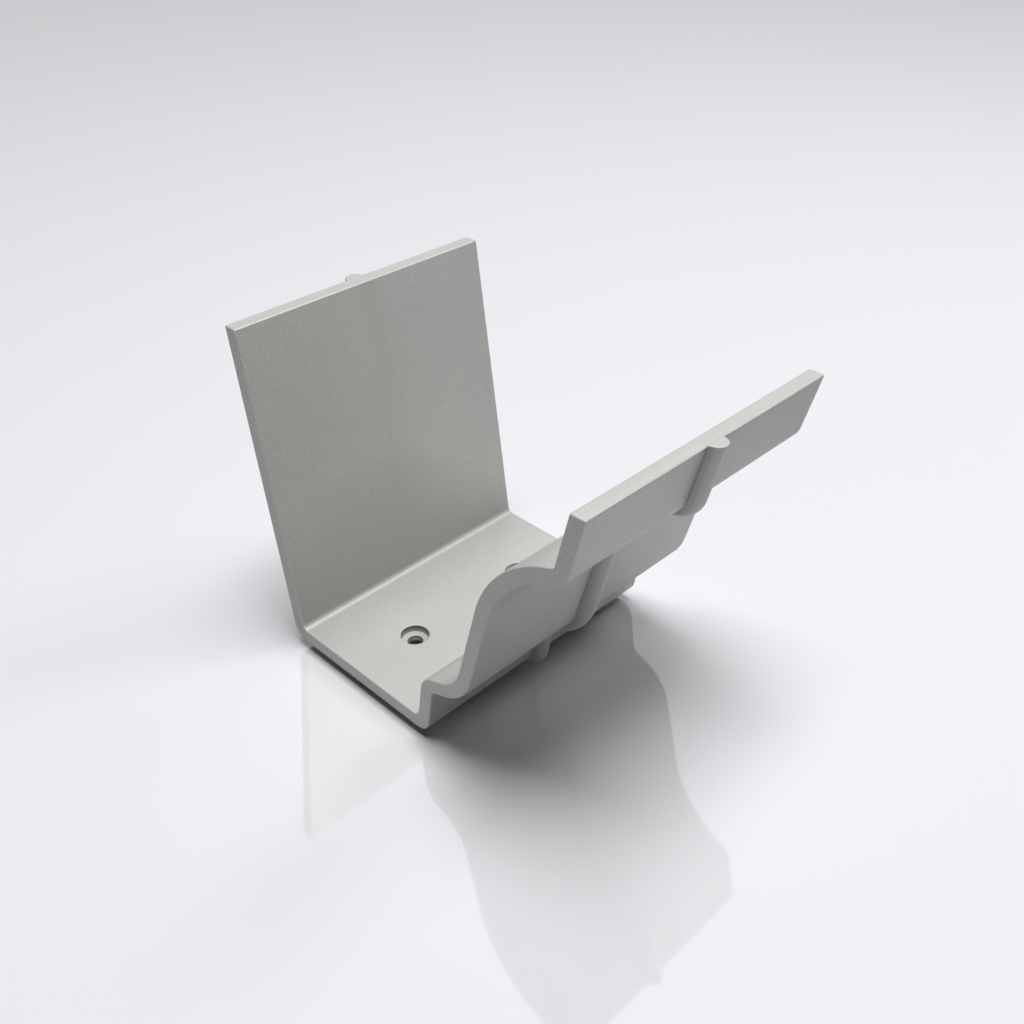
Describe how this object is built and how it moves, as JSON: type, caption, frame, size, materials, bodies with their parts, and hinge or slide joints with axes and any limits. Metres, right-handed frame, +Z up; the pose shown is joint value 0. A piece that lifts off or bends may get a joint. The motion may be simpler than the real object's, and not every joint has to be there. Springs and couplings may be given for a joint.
{
  "type": "gutter union",
  "caption": "Cast trough-shaped union with a moulded ogee front that carries and joins the meeting ends of two gutter lengths, with a bead round its outside.",
  "frame": {"origin": "on the inside floor, at mid-length, midway between the two screw holes", "axes": "+X along the gutter, -Y towards the moulded front, +Y towards the back wall, +Z up"},
  "size_m": [0.0936, 0.1419, 0.1076],
  "materials": {
    "cast_aluminium": "matt as cast, fine blasted grain"
  },
  "bodies": {
    "root": {"union_casting": "cast_aluminium"}
  },
  "joints": []
}
